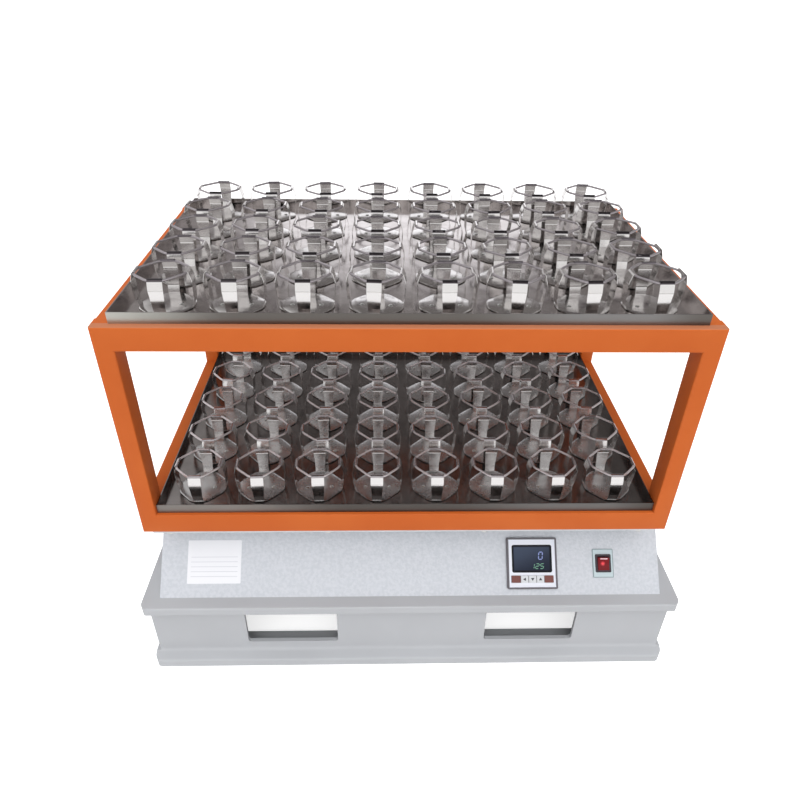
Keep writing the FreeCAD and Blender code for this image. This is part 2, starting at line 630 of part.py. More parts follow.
bezel = panel_block(METER_X, METER_S, METER_SIZE, METER_SIZE, 0, METER_PROUD, METER_CORNER_RADIUS)
face_size = METER_SIZE - 2 * METER_RIM
face_level = METER_PROUD - METER_FACE_DEPTH
bezel = bezel.cut(panel_block(METER_X, METER_S, face_size, face_size, face_level, METER_PROUD + MARGIN))
window_s = METER_S + WINDOW_RISE
bezel = bezel.cut(panel_block(
    METER_X, window_s, WINDOW_LENGTH, WINDOW_HEIGHT, face_level - WINDOW_THICKNESS, METER_PROUD + MARGIN,
    WINDOW_CORNER_RADIUS,
))
key_s = METER_S - KEY_DROP
key_left = METER_X - (sum(KEY_WIDTHS) + KEY_GAP * (len(KEY_WIDTHS) - 1)) / 2
keys = []
for width in KEY_WIDTHS:
    key_x = key_left + width / 2
    key_slot = panel_block(
        key_x, key_s, width + 2 * KEY_SLOT_GAP, KEY_HEIGHT + 2 * KEY_SLOT_GAP,
        face_level - KEY_DEPTH - KEY_TRAVEL - KEY_SLOT_GAP, METER_PROUD + MARGIN,
        KEY_CORNER_RADIUS + KEY_SLOT_GAP,
    )
    bezel = bezel.cut(key_slot)
    keys.append(panel_block(
        key_x, key_s, width, KEY_HEIGHT, face_level - KEY_DEPTH, face_level + KEY_PROUD, KEY_CORNER_RADIUS,
    ))
    key_left += width + KEY_GAP
export("meter_bezel", bezel)
export("meter_window", panel_block(
    METER_X, window_s, WINDOW_LENGTH, WINDOW_HEIGHT, face_level - WINDOW_THICKNESS, face_level,
    WINDOW_CORNER_RADIUS,
))
for name, key in zip(KEY_NAMES, keys):
    export(name, key)

# Power switch: a clear plate, a bezel with its body, and the rocker
plate = panel_block(
    SWITCH_X, SWITCH_S, SWITCH_PLATE_WIDTH, SWITCH_PLATE_HEIGHT, 0, SWITCH_PLATE_THICKNESS,
    SWITCH_CORNER_RADIUS,
)
plate = plate.cut(panel_block(
    SWITCH_X, SWITCH_S, switch_body_width + 2 * CUTOUT_GAP, switch_body_height + 2 * CUTOUT_GAP,
    -MARGIN, SWITCH_PLATE_THICKNESS + MARGIN,
))
export("switch_plate", plate)

bezel_top = SWITCH_PLATE_THICKNESS + SWITCH_BEZEL_PROUD
switch_bezel = panel_block(
    SWITCH_X, SWITCH_S, SWITCH_BEZEL_WIDTH, SWITCH_BEZEL_HEIGHT, SWITCH_PLATE_THICKNESS, bezel_top,
    SWITCH_CORNER_RADIUS,
)
switch_bezel = switch_bezel.fuse(panel_block(
    SWITCH_X, SWITCH_S, switch_body_width, switch_body_height, -SWITCH_BODY_DEPTH, SWITCH_PLATE_THICKNESS,
))
well_width = switch_body_width - 2 * SWITCH_WALL
well_height = switch_body_height - 2 * SWITCH_WALL
switch_bezel = switch_bezel.cut(panel_block(
    SWITCH_X, SWITCH_S, well_width, well_height, SWITCH_WALL - SWITCH_BODY_DEPTH, bezel_top + MARGIN,
))
export("switch_bezel", switch_bezel.removeSplitter())


def rocker_shape():
    """A double-sloped rocker, pressed in at its lower end: its side outline, drawn across X."""
    half = well_height / 2 - 3 * ROCKER_GAP
    crown = ROCKER_PROUD - ROCKER_GAP
    outline = [
        Vector(0, -half, -ROCKER_PIVOT_DEPTH), Vector(0, half, -ROCKER_PIVOT_DEPTH),
        Vector(0, half, crown), Vector(0, 0, crown - half * tan(radians(ROCKER_TILT))),
        Vector(0, -half, crown),
    ]
    width = well_width - 2 * ROCKER_GAP
    rocker = moved(prism(outline, Vector(width, 0, 0)), x=-width / 2)
    rocker.rotate(Vector(0, 0, -ROCKER_PIVOT_DEPTH), Vector(1, 0, 0), ROCKER_TILT)
    return moved(rocker, SWITCH_X, SWITCH_S, bezel_top)


export("power_rocker", on_panel(rocker_shape()))


# Everything below moves with the table, which stands off the base's centre by the throw
def on_table(shape):
    return moved(shape, x=-THROW)


table = box(-TABLE_LENGTH / 2, TABLE_LENGTH / 2, -TABLE_DEPTH / 2, TABLE_DEPTH / 2, TABLE_Z, TABLE_TOP)
export("drive_table", on_table(table))


def hub(bearing_radius, x=0.0, y=0.0):
    """A hub under the table that holds the bearing of one crank pin."""
    body = cylinder(bearing_radius + BEARING_WALL, TABLE_Z - HUB_HEIGHT, TABLE_Z, x, y)
    return body.cut(cylinder(bearing_radius + SEAT_GAP, TABLE_Z - HUB_HEIGHT - MARGIN, TABLE_Z, x, y))


hub_bearing_z = TABLE_Z - BEARING_WIDTH
export("table_hubs", on_table(hub(MAIN_BEARING_RADIUS)), *[
    on_table(hub(IDLER_BEARING_RADIUS, x, y)) for x, y in IDLER_PLACES
])
export("table_bearings", on_table(bearing(
    MAIN_BEARING_RADIUS, MAIN_PIN_RADIUS + JOURNAL_CLEARANCE, hub_bearing_z,
)), *[
    on_table(bearing(IDLER_BEARING_RADIUS, IDLER_PIN_RADIUS + OPEN_PIVOT_CLEARANCE, hub_bearing_z, x, y))
    for x, y in IDLER_PLACES
])


# Frame: rectangular tubes with rounded edges and closed ends, each with a hidden vent hole
def tube(x0, x1, y0, y1, z0, z1, axis, vents):
    outer = box(x0, x1, y0, y1, z0, z1)
    outer = outer.makeFillet(TUBE_RADIUS, long_edges(outer, axis))
    wall = TUBE_WALL
    hollow = box(x0 + wall, x1 - wall, y0 + wall, y1 - wall, z0 + wall, z1 - wall)
    hollow = hollow.makeFillet(TUBE_RADIUS - TUBE_WALL, long_edges(hollow, axis))
    shape = outer.cut(hollow)
    for point, direction in vents:
        start = point - direction * MARGIN
        shape = shape.cut(Part.makeCylinder(VENT_HOLE_RADIUS, 2 * TUBE_WALL, start, direction))
    return on_table(shape)


half_length = FRAME_LENGTH / 2
half_depth = FRAME_DEPTH / 2
post_middle = half_length - TUBE_WIDTH / 2
up = Vector(0, 0, 1)
forwards = Vector(0, -1, 0)
posts = []
cross_beams = []
side_beams = []
bearers = []
for side in (-1, 1):
    for end in (-1, 1):
        xs = sorted((side * half_length, side * (half_length - TUBE_WIDTH)))
        ys = sorted((end * half_depth, end * (half_depth - TUBE_HEIGHT)))
        vent = Vector(side * post_middle, end * (half_depth - TUBE_WIDTH / 2), LOWER_SEAT)
        posts.append(tube(*xs, *ys, LOWER_SEAT, UPPER_BEAM_BOTTOM, 2, [(vent, up)]))
for bottom, level in ((TABLE_TOP, LOWER_SEAT), (UPPER_BEAM_BOTTOM, UPPER_BEAM_BOTTOM)):
    vent_way = Vector(0, 0, -1) if bottom == TABLE_TOP else up
    for end in (-1, 1):
        ys = sorted((end * half_depth, end * (half_depth - TUBE_WIDTH)))
        vent = Vector(post_middle, end * (half_depth - TUBE_WIDTH / 2), level)
        cross_beams.append(tube(
            -half_length, half_length, *ys, bottom, bottom + TUBE_HEIGHT, 0, [(vent, vent_way)],
        ))
    inner = half_depth - TUBE_WIDTH
    for side in (-1, 1):
        xs = sorted((side * half_length, side * (half_length - TUBE_WIDTH)))
        vent = Vector(side * post_middle, inner, bottom + TUBE_HEIGHT / 2)
        side_beams.append(tube(*xs, -inner, inner, bottom, bottom + TUBE_HEIGHT, 1, [(vent, forwards)]))
        bearer_x = side * BEARER_OFFSET
        vent = Vector(bearer_x, inner, bottom + TUBE_HEIGHT - BEARER_HEIGHT / 2)
        bearers.append(tube(
            bearer_x - TUBE_WIDTH / 2, bearer_x + TUBE_WIDTH / 2, -inner, inner,
            bottom + TUBE_HEIGHT - BEARER_HEIGHT, bottom + TUBE_HEIGHT, 1, [(vent, forwards)],
        ))
export("frame_posts", *posts)
export("frame_cross_beams", *cross_beams)
export("frame_side_beams", *side_beams)
export("tray_bearers", *bearers)

frame_bolts = []
for bolt_x in columns(TABLE_LENGTH, FRAME_BOLT_END, FRAME_BOLT_COLUMNS):
    for bolt_y in (FRAME_BOLT_EDGE - half_depth, half_depth - FRAME_BOLT_EDGE):
        bolt = cylinder(FRAME_BOLT_RADIUS, TABLE_Z - FRAME_BOLT_HEIGHT, TABLE_Z, bolt_x, bolt_y)
        frame_bolts.append(on_table(bolt))
export("frame_bolts", *frame_bolts)


# Trays: folded sheet with an upturned lip all round
def tray(deck_name):
    length, depth = TRAY_SIZES[deck_name]
    z = TRAY_HEIGHTS[deck_name]
    pan = box(-length / 2, length / 2, -depth / 2, depth / 2, z, z + TRAY_LIP)
    inside = box(
        TRAY_SHEET - length / 2, length / 2 - TRAY_SHEET, TRAY_SHEET - depth / 2, depth / 2 - TRAY_SHEET,
        z + TRAY_SHEET, z + TRAY_LIP + MARGIN,
    )
    return on_table(pan.cut(inside))


# Clamps, each about its own axis with its foot at z = 0
def octagon(straight_distance, diagonal_distance, z):
    """Corners of an octagon: four of its sides face the arms, and the other four lie between them."""
    a = diagonal_distance * sqrt(2) - straight_distance
    r = straight_distance
    corners = [(r, -a), (r, a), (a, r), (-a, r), (-r, a), (-r, -a), (-a, -r), (a, -r)]
    return [Vector(x, y, z) for x, y in corners]


def clamp_base():
    """A pressed foot plate: a low wall, then slopes up to a flat crown."""
    crown_share = CLAMP_BASE_CROWN / CLAMP_BASE_RADIUS
    wires = []
    for z, share in ((0, 1.0), (CLAMP_BASE_WALL, 1.0), (CLAMP_BASE_HEIGHT, crown_share)):
        corners = octagon(CLAMP_BASE_RADIUS * share, CLAMP_BASE_DIAGONAL * share, z)
        wires.append(Part.makePolygon(corners + corners[:1]))
    return Part.makeLoft(wires, True, True)


def clamp_arm():
    """The arm towards +X: a leaning riser, then a shoulder that leads in under the ring."""
    ring_bottom = RING_Z - RING_WIRE / 2
    inner = [(CLAMP_BASE_RADIUS, ARM_FOOT_Z), (SHOULDER_RADIUS, SHOULDER_Z), (RING_RADIUS, ring_bottom)]
    outer = [
        (RING_RADIUS + ARM_SHEET, ring_bottom), (SHOULDER_RADIUS + ARM_SHEET, SHOULDER_Z + ARM_SHEET / 3),
        (CLAMP_BASE_RADIUS + ARM_SHEET, ARM_FOOT_Z),
    ]
    outline = [Vector(r, -ARM_TOP_WIDTH / 2, z) for r, z in inner + outer]
    strip = prism(outline, Vector(0, ARM_TOP_WIDTH, 0))
    narrowing = (ARM_TOP_WIDTH - ARM_FOOT_WIDTH) / 2
    side_view = [
        Vector(0, -ARM_TOP_WIDTH / 2 + narrowing, 0), Vector(0, ARM_TOP_WIDTH / 2 - narrowing, 0),
        Vector(0, ARM_TOP_WIDTH / 2, ring_bottom), Vector(0, -ARM_TOP_WIDTH / 2, ring_bottom),
    ]
    return strip.common(prism(side_view, Vector(2 * SHOULDER_RADIUS, 0, 0)))


def clamp_ring():
    bottom = RING_Z - RING_WIRE / 2
    diagonal = (RING_RADIUS + RING_STRAIGHT / 2) / sqrt(2)
    half_wire = RING_WIRE / 2
    outside = prism(octagon(RING_RADIUS + half_wire, diagonal + half_wire, bottom), Vector(0, 0, RING_WIRE))
    inside = prism(octagon(RING_RADIUS - half_wire, diagonal - half_wire, bottom), Vector(0, 0, RING_WIRE))
    return outside.cut(inside)


def clamp_places(deck_name):
    z = TRAY_HEIGHTS[deck_name] + TRAY_SHEET
    places = []
    for row in range(CLAMP_ROWS):
        for column in range(CLAMP_COLUMNS):
            x = (column - (CLAMP_COLUMNS - 1) / 2) * CLAMP_PITCH - THROW
            y = (row - (CLAMP_ROWS - 1) / 2) * CLAMP_PITCH
            places.append((x, y, z))
    return places


base_shape = clamp_base()
ring_shape = clamp_ring()
arm_shape = clamp_arm()
arm_shapes = {
    "right": arm_shape, "rear": turned(arm_shape, 90), "left": turned(arm_shape, 180),
    "front": turned(arm_shape, 270),
}
for deck_name in ("lower", "upper"):
    export(deck_name + "_tray", tray(deck_name))
    places = clamp_places(deck_name)
    export(deck_name + "_clamp_bases", *[moved(base_shape, *place) for place in places])
    export(deck_name + "_clamp_rings", *[moved(ring_shape, *place) for place in places])
    for arm_side, shape in arm_shapes.items():
        export(deck_name + "_clamp_" + arm_side + "_arms", *[moved(shape, *place) for place in places])
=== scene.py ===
"""Looks of the double-deck orbital shaker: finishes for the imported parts, and the pieces that need finer shapes."""
import json

import bpy
import bmesh
import numpy as np
from mathutils import Matrix


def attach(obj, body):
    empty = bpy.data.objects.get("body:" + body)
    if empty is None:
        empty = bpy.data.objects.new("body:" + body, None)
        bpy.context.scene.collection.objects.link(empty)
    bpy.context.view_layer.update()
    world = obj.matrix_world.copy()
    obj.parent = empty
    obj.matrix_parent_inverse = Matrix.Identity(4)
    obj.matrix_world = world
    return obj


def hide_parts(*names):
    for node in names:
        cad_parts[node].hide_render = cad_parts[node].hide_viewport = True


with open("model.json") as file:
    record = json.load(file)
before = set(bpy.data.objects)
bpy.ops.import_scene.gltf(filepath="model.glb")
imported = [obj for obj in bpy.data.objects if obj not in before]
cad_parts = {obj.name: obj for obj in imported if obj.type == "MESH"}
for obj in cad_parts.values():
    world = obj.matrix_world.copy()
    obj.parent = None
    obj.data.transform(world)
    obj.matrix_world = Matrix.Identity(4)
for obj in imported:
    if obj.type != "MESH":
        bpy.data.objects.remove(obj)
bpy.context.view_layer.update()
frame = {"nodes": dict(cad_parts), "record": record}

# Sizes in metres, repeated from the part
THROW = 0.013
PITCH = 0.106
COLUMNS, ROWS = 8, 5
TRAY_SHEET = 0.0015
DECKS = {"lower": 0.372, "upper": 0.738}
BETWEEN_DECKS = (0.5, 0.6)
FRAME_HALF_WIDTH, FRAME_FOOT, FRAME_TOP, FRAME_FRONT = 0.467, 0.332, 0.738, 0.2855
POST_WIDTH, BEAM_HEIGHT, TUBE_DEPTH = 0.030, 0.040, 0.030
PANEL_FOOT = np.array([0.0, -0.300, 0.175])
PANEL_LEAN = np.radians(47.0)
ALONG_PANEL = np.array([0.0, np.cos(PANEL_LEAN), np.sin(PANEL_LEAN)])
OUT_OF_PANEL = np.array([0.0, -np.sin(PANEL_LEAN), np.cos(PANEL_LEAN)])
ALONG_X = np.array([1.0, 0.0, 0.0])

# Places and sizes on the sloping panel in millimetres: right of the middle, then up the slope
METER_CENTRE = (229.6, 59.8)
KEY_ROW_BELOW_CENTRE = 29.6
WINDOW_CENTRE = (229.6, 68.3)
WINDOW_HALF_SIZE = (38.5, 26.0)
GUARD_CENTRE = (368.5, 58.5)
GUARD_HALF_SIZE = (20.0, 27.0)
ROCKER_CENTRE = (367.0, 58.0)
LABEL_CENTRE, LABEL_SIZE = (-376.5, 65.75), (101.0, 80.5)
LABEL_CORNER, LABEL_THICKNESS = 2.0, 0.25
WINDOW_FRONT, KEY_FRONT = 6.5, 8.0
PRINT_DEPTH, PRINT_PROUD = 0.2, 0.08


# ---------------------------------------------------------------- camera
def aim_camera():
    """The camera's axes come from a pitch, a yaw and a roll: forward, then right and up turned by the roll.

    The focal length is in pixels of the image.
    """
    pitch, yaw, roll = np.radians([33.59, 1.89, 1.05])
    image_width, focal_length = 800, 662.15
    forward = np.array([np.sin(yaw) * np.cos(pitch), np.cos(yaw) * np.cos(pitch), -np.sin(pitch)])
    level = np.array([np.cos(yaw), -np.sin(yaw), 0.0])
    above = np.cross(level, forward)
    right = level * np.cos(roll) + above * np.sin(roll)
    up = above * np.cos(roll) - level * np.sin(roll)
    lens = bpy.data.cameras.new("camera")
    lens.sensor_width = 36.0
    lens.lens = focal_length / image_width * lens.sensor_width
    lens.shift_x = -0.46 / image_width
    lens.shift_y = -1.18 / image_width
    lens.clip_end = 200.0
    camera = bpy.data.objects.new("camera", lens)
    bpy.context.scene.collection.objects.link(camera)
    turn = Matrix([list(row) for row in np.column_stack([right, up, -forward])]).to_4x4()
    camera.matrix_world = Matrix.Translation((-0.0574, -1.14096, 1.18443)) @ turn
    bpy.context.scene.camera = camera


# ---------------------------------------------------------------- finishes
class Socket:
    """A shader socket that Python's operators work on; each operator adds a Math node."""

    def __init__(self, finish, socket):
        self.finish, self.socket = finish, socket

    def math(self, operation, *others):
        return self.finish.math(operation, self, *others)

    def __add__(self, other): return self.math("ADD", other)
    def __radd__(self, other): return self.math("ADD", other)
    def __sub__(self, other): return self.math("SUBTRACT", other)
    def __rsub__(self, other): return self.finish.math("SUBTRACT", other, self)
    def __mul__(self, other): return self.math("MULTIPLY", other)
    def __rmul__(self, other): return self.math("MULTIPLY", other)
    def __truediv__(self, other): return self.math("DIVIDE", other)
    def __gt__(self, other): return self.math("GREATER_THAN", other)
    def __lt__(self, other): return self.math("LESS_THAN", other)
    def __abs__(self): return self.math("ABSOLUTE")
    def __pow__(self, other): return self.math("POWER", other)
    def at_least(self, other): return self.math("MAXIMUM", other)


class Finish:
    """One procedural material or the world: makes nodes and ends in a shader."""

    def __init__(self, name, owner=None):
        self.owner = owner or bpy.data.materials.new(name)
        self.owner.use_nodes = True
        self.tree = self.owner.node_tree
        self.tree.nodes.clear()

    def node(self, kind, settings=None, inputs=None, output=0):
        """Any node: its type, its settings, and the values or links of its sockets."""
        made = self.tree.nodes.new(kind)
        for key, value in (settings or {}).items():
            setattr(made, key, value)
        for key, value in (inputs or {}).items():
            if isinstance(value, Socket):
                self.tree.links.new(value.socket, made.inputs[key])
            else:
                made.inputs[key].default_value = value
        return Socket(self, made.outputs[output])

    def math(self, operation, *values):
        return self.node("ShaderNodeMath", {"operation": operation}, dict(enumerate(values)))

    def place(self):
        """The point on the object, in metres, as three sockets."""
        point = self.node("ShaderNodeTexCoord", output="Object")
        return [self.node("ShaderNodeSeparateXYZ", None, {0: point}, axis) for axis in range(3)]

    def noise(self, scale, detail=2.0, stretch=(1.0, 1.0, 1.0), rough=0.5):
        """Soft noise between 0 and 1, with scale features per metre, drawn out along an axis by stretch."""
        point = self.node("ShaderNodeTexCoord", output="Object")
        point = self.node("ShaderNodeVectorMath", {"operation": "MULTIPLY"}, {0: point, 1: stretch})
        return self.node("ShaderNodeTexNoise", None, {
            "Vector": point, "Scale": scale, "Detail": detail, "Roughness": rough})

    def upper_deck(self, z):
        """0 on the lower deck and 1 on the upper one."""
        return self.smooth(z, *BETWEEN_DECKS)

    def smooth(self, value, low, high):
        """0 below low, 1 above high, and a smooth step between."""
        return self.node("ShaderNodeMapRange", {"interpolation_type": "SMOOTHSTEP"}, {
            "Value": value, "From Min": low, "From Max": high, "To Min": 0.0, "To Max": 1.0})

    def blend(self, share, first, second):
        """Colour between first and second."""
        ends = {6: first, 7: second}
        ends = {key: (*value, 1.0) if isinstance(value, tuple) else value for key, value in ends.items()}
        return self.node("ShaderNodeMix", {"data_type": "RGBA"}, {0: share, **ends}, 2)

    def bump(self, height, distance, normal=None):
        """Normal of a surface that rises by distance, in metres, where height goes from 0 to 1."""
        links = {"Height": height, "Distance": distance}
        if normal is not None:
            links["Normal"] = normal
        return self.node("ShaderNodeBump", None, links)

    def done(self, **sockets):
        """Ends in the main shader. Names use an underscore for a space."""
        values = {}
        for key, value in sockets.items():
            values[key.replace("_", " ")] = (*value, 1.0) if isinstance(value, tuple) else value
        self.end(self.node("ShaderNodeBsdfPrincipled", None, values))
        return self.owner

    def mirror_ray(self):
        """1 for what a mirror or a pane shows, 0 for the rest."""
        glossy = self.node("ShaderNodeLightPath", output="Is Glossy Ray")
        return glossy.at_least(self.node("ShaderNodeLightPath", output="Is Transmission Ray"))

    def end(self, shader, kind="ShaderNodeOutputMaterial"):
        output = self.tree.nodes.new(kind)
        self.tree.links.new(shader.socket, output.inputs["Surface"])


def srgb(red, green, blue):
    """Linear colour of a colour written in 0 to 255."""
    share = np.array([red, green, blue]) / 255.0
    linear = np.where(share < 0.04045, share / 12.92, ((share + 0.055) / 1.055) ** 2.4)
    return tuple(float(value) for value in linear)


def paint(name, colour, second, roughness, gloss, peel, speck=0.0):
    """Paint over steel: two near colours in soft clouds and a fine peel in its skin; gloss is its specular level."""
    finish = Finish(name)
    clouds = finish.noise(7.0, 3.0)
    colour = finish.blend(finish.smooth(clouds, 0.3, 0.7), colour, second)
    rough = roughness + speck * (finish.noise(60.0, 3.0) - 0.5)
    return finish.done(Base_Color=colour, Roughness=rough, Specular_IOR_Level=gloss,
                       Normal=finish.bump(finish.noise(420.0, 1.0), peel))


def hammered_paint():
    """Silver hammer paint: soft cells about four millimetres wide, in two near greys that come and go in flecks."""
    finish = Finish("hammered_paint")
    cells = finish.node("ShaderNodeTexVoronoi", {"feature": "SMOOTH_F1"}, {
        "Vector": finish.node("ShaderNodeTexCoord", output="Object"), "Scale": 230.0, "Smoothness": 0.5})
    height = finish.smooth(cells, 0.15, 0.75) + 0.3 * finish.noise(160.0, 2.0)
    shade = finish.smooth(finish.noise(170.0, 3.0), 0.35, 0.65)
    colour = finish.blend(shade, srgb(200, 204, 210), srgb(209, 212, 218))
    return finish.done(Base_Color=colour, Metallic=0.3, Roughness=0.4, Specular_IOR_Level=0.4,
                       Normal=finish.bump(height, 0.00016))


def frame_paint():
    """Orange enamel, with a painted highlight: a paler line on the top of the upper front beam where it stands out
    before the tray.
    """
    finish = Finish("orange_enamel")
    _, y, z = finish.place()
    colour = finish.blend(finish.smooth(finish.noise(7.0, 3.0), 0.3, 0.7), srgb(201, 98, 40), srgb(207, 105, 46))
    # Painted highlight: the top front edge of the upper front beam is painted paler.
    painted_edge_highlight = finish.smooth(z, 0.7368, 0.7378) * finish.smooth(0.0 - y, 0.270, 0.272)
    colour = finish.blend(painted_edge_highlight, colour, srgb(196, 124, 88))
    return finish.done(Base_Color=colour, Roughness=0.42, Specular_IOR_Level=0.15,
                       Normal=finish.bump(finish.noise(420.0, 1.0), 0.00002))


def steel(name, colour, roughness, grain=(1.0, 1.0, 1.0), grain_depth=0.0, wave_depth=0.0, smear=0.0, metallic=1.0):
    """Bare metal: a fine grain drawn out along one axis, slow waves from rolling, and smears in its gloss."""
    finish = Finish(name)
    smears = finish.noise(30.0, 4.0, rough=0.65)
    dark = tuple(0.86 * value for value in colour)
    tone = finish.blend(finish.smooth(smears, 0.3, 0.7), dark, colour)
    rough = (roughness + smear * (smears - 0.5)).at_least(0.03)
    normal = {}
    if wave_depth:
        normal["Normal"] = finish.bump(finish.noise(14.0), wave_depth)
    if grain_depth:
        normal["Normal"] = finish.bump(finish.noise(900.0, 2.0, grain, 0.7), grain_depth, normal.get("Normal"))
    return finish.done(Base_Color=tone, Metallic=metallic, Roughness=rough, **normal)


SPRING_STEEL = (0.76, 0.74, 0.73)


def arm_steel(name, flap):
    """Polished spring steel of the arms, with painted shade on the part folded over the wire, darker there for the
    dark things that it reflects; flap is the upper deck's colour of that part.
    """
    finish = Finish(name)
    _, _, z = finish.place()
    upper = finish.upper_deck(z)
    above = z - (0.3735 + 0.366 * upper)
    # Painted shade: the lower deck's folded part is painted darker than the spring steel.
    flap = finish.blend(upper, (0.42, 0.39, 0.40), flap)
    colour = finish.blend(finish.smooth(above, 0.0549, 0.0556), SPRING_STEEL, flap)
    smears = finish.noise(30.0, 3.0, rough=0.6)
    return finish.done(Base_Color=colour, Metallic=1.0, Roughness=0.17 + 0.04 * (smears - 0.5),
                       Normal=finish.bump(finish.noise(14.0, 2.0), 0.00004))


def ring_wire():
    """Drawn wire, satin and a little pink; the wires of the upper deck are painted darker, painted shade for the
    darker things that they reflect.
    """
    finish = Finish("ring_wire")
    _, _, z = finish.place()
    # Painted shade: the upper deck's wire is painted darker than the lower deck's.
    colour = finish.blend(finish.upper_deck(z), (0.66, 0.61, 0.62), (0.40, 0.365, 0.385))
    return finish.done(Base_Color=colour, Metallic=0.85, Roughness=0.38 + 0.06 * (finish.noise(30.0) - 0.5))


def tray_sheet():
    """Rolled sheet of the trays: a hazy mirror inside, more matt on the front lips. Its colour holds painted shade,
    darker below the top of the upper tray, and painted highlights on the lips, brightest at their left ends.
    """
    finish = Finish("tray_sheet")
    x, y, z = finish.place()
    upper = finish.upper_deck(z)
    lip = finish.smooth(0.006 * upper - y, 0.2774, 0.2778)
    smears = finish.noise(30.0, 3.0, rough=0.6)
    # Painted shade: the sheet is painted darker everywhere below the top face of the upper tray, the lower tray's
    # floor among it, for the dark things that floor reflects.
    lower = finish.blend(finish.smooth(smears, 0.3, 0.7), (0.17, 0.155, 0.15), (0.22, 0.20, 0.195))
    lit_upper_floor = finish.blend(finish.smooth(smears, 0.3, 0.7), (0.46, 0.425, 0.415), (0.56, 0.525, 0.515))
    floor = finish.blend(finish.smooth(z, 0.7375, 0.7385), lower, lit_upper_floor)
    # Painted highlight and painted reflection on the front lips: brightest at their left ends, darker to the right
    # with a lighter patch right of the middle, and painted darker on the lower deck.
    along = finish.smooth(x + 0.15 * upper + 0.02 * smears, -0.33, -0.10)
    side = finish.blend(upper, (0.23, 0.215, 0.20), (0.50, 0.50, 0.46))
    right = finish.smooth(x, 0.05, 0.25) * (1.0 - finish.smooth(x, 0.33, 0.42))
    upper_lip_painted_light = finish.blend(right, (0.135, 0.125, 0.115), (0.22, 0.215, 0.21))
    lower_lip_painted_light = finish.blend(right, (0.10, 0.092, 0.085), (0.165, 0.16, 0.155))
    side = finish.blend(along, side, finish.blend(upper, lower_lip_painted_light, upper_lip_painted_light))
    waves = finish.bump(finish.noise(14.0, 2.0), 0.0002)
    return finish.done(Base_Color=finish.blend(lip, floor, side), Metallic=1.0,
                       Roughness=0.2 - 0.07 * upper + 0.2 * lip + 0.06 * (smears - 0.5),
                       Normal=finish.bump(finish.noise(900.0, 2.0, (0.02, 1.0, 1.0), 0.7), 0.000004, normal=waves))


def plastic(name, colour, roughness):
    """Moulded plastic with a fine spark-eroded grain."""
    finish = Finish(name)
    tone = finish.blend(finish.noise(25.0, 2.0), tuple(0.9 * value for value in colour), colour)
    return finish.done(Base_Color=tone, Roughness=roughness + 0.06 * (finish.noise(80.0) - 0.5),
                       Normal=finish.bump(finish.noise(1500.0, 1.0), 0.00002))


def along_panel(finish, centre):
    """Distances right of and above a point of the sloping panel, in millimetres."""
    centre_x, centre_s = centre
    x, y, z = finish.place()
    s = (y - float(PANEL_FOOT[1])) * float(ALONG_PANEL[1]) + (z - float(PANEL_FOOT[2])) * float(ALONG_PANEL[2])
    return x * 1000.0 - centre_x, s * 1000.0 - centre_s


def meter_front():
    """White face inside a dark slate rim, and a dark recess in which the row of keys sits."""
    finish = Finish("meter_front")
    across, above = along_panel(finish, METER_CENTRE)
    rim = finish.smooth(abs(across).at_least(abs(above)), 44.4, 44.8)
    below = abs(above + KEY_ROW_BELOW_CENTRE)
    row = (1.0 - finish.smooth(abs(across), 40.6, 41.0)) * (1.0 - finish.smooth(below, 6.3, 6.7))
    colour = finish.blend(row, srgb(226, 229, 238), srgb(96, 92, 100))
    colour = finish.blend(rim, colour, srgb(96, 92, 98))
    return finish.done(Base_Color=colour, Roughness=0.42, Normal=finish.bump(finish.noise(1500.0, 1.0), 0.00002))


def display_glass():
    """Dark display: blue-black, with a painted reflection that makes it lighter at its upper left, almost black in a
    border round its edge.
    """
    finish = Finish("display_glass")
    across, above = along_panel(finish, WINDOW_CENTRE)
    half_width, half_height = WINDOW_HALF_SIZE
    border = finish.smooth((abs(across) - half_width).at_least(abs(above) - half_height), -5.5, -2.5)
    # Painted reflection: the glass is painted lighter towards its upper left.
    glow = finish.smooth(above - 0.35 * across, -30.0, 34.0)
    colour = finish.blend(glow, srgb(24, 32, 52), srgb(62, 74, 96))
    colour = finish.blend(border, colour, srgb(10, 11, 20))
    return finish.done(Base_Color=colour, Roughness=0.3, Specular_IOR_Level=0.2)


def guard_plastic():
    """Milky green-grey guard plate, with painted shade in a darker band along its edge."""
    finish = Finish("guard_plastic")
    across, above = along_panel(finish, GUARD_CENTRE)
    half_width, half_height = GUARD_HALF_SIZE
    # Painted shade: a darker band along the edge of the clear plate.
    edge = finish.smooth((abs(across) - half_width).at_least(abs(above) - half_height), -1.9, -1.1)
    colour = finish.blend(edge, srgb(194, 209, 213), srgb(140, 156, 160))
    return finish.done(Base_Color=colour, Roughness=0.3, Specular_IOR_Level=0.3)


def lit_rocker():
    """Red see-through rocker: its lamp glows behind the middle, and a painted highlight, a pale bar, lies along its
    upper end.
    """
    finish = Finish("lit_rocker")
    across, above = along_panel(finish, ROCKER_CENTRE)
    far = (across * across + above * above) ** 0.5
    lamp = 1.0 - finish.smooth(far, 0.5, 5.5)
    # Painted highlight: a pale bar along the upper end of the rocker.
    bar = (1.0 - finish.smooth(abs(across - 1.5), 6.6, 7.4)) * (1.0 - finish.smooth(abs(above - 9.3), 0.9, 1.4))
    colour = finish.blend(lamp, srgb(116, 10, 20), srgb(214, 70, 78))
    colour = finish.blend(bar, colour, srgb(236, 198, 204))
    glow = finish.blend(lamp, srgb(60, 2, 6), srgb(235, 60, 66))
    return finish.done(Base_Color=colour, Roughness=0.35, Specular_IOR_Level=0.25,
                       Emission_Color=glow, Emission_Strength=0.35)


